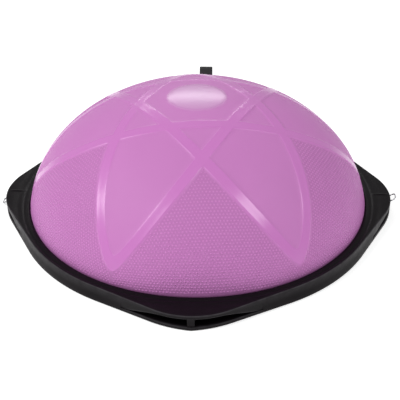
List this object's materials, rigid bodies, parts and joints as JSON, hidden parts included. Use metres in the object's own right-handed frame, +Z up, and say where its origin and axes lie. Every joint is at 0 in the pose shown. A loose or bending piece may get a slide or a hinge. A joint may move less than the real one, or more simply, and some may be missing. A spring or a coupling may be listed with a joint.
{
  "type": "balance dome trainer",
  "caption": "Inflated half-dome balance trainer on a round base with four hand-grip lobes, wire band loops and a webbing carry strap.",
  "frame": {"origin": "on the floor plane under the centre of the dome", "axes": "+Z up; the four lobes point along +X, -X, +Y and -Y; the carry strap stands at the +Y lobe; the right band loop is at +X"},
  "size_m": [0.6586, 0.642, 0.204],
  "materials": {
    "base_black": "satin black moulding",
    "platform_black": "fine textured black moulding",
    "dome_pvc": "satin moulded PVC, glossier on the raised bands",
    "floor_pvc": "smooth PVC sheet",
    "seat_pvc": "smooth PVC",
    "plug_white": "smooth",
    "screw_steel": "zinc plated",
    "foot_rubber": "matte",
    "loop_steel": "plated wire",
    "pin_steel": "drawn",
    "webbing": "woven polypropylene webbing"
  },
  "bodies": {
    "base": {"rim_ring": "base_black", "platform": "platform_black", "dome": "dome_pvc", "bladder_floor": "floor_pvc", "valve_seat": "seat_pvc", "clamp_screws": "screw_steel", "foot_front": "foot_rubber", "foot_rear": "foot_rubber", "foot_left": "foot_rubber", "foot_right": "foot_rubber", "foot_front_right": "foot_rubber", "foot_rear_right": "foot_rubber", "foot_rear_left": "foot_rubber", "foot_front_left": "foot_rubber", "loop_pin_left": "pin_steel", "loop_pin_right": "pin_steel", "strap_pin": "pin_steel"},
    "loop_left": {"band_loop_left": "loop_steel"},
    "loop_right": {"band_loop_right": "loop_steel"},
    "strap": {"carry_strap": "webbing"},
    "plug": {"valve_plug": "plug_white"}
  },
  "joints": [
    {"name": "loop_left_hinge", "type": "hinge", "parent": "base", "child": "loop_left", "pos_m": [-0.314, 0, 0.0132], "axis": [0, 1, 0], "range_deg": [-2, 71]},
    {"name": "loop_right_hinge", "type": "hinge", "parent": "base", "child": "loop_right", "pos_m": [0.314, 0, 0.0132], "axis": [0, -1, 0], "range_deg": [-70, 3]},
    {"name": "strap_hinge", "type": "hinge", "parent": "base", "child": "strap", "pos_m": [0.008, 0.306, 0.0135], "axis": [1, 0, 0], "range_deg": [-80, 24]},
    {"name": "plug_pull", "type": "slide", "parent": "base", "child": "plug", "axis": [0, 0, -1], "range_m": [0, 0.025]}
  ]
}
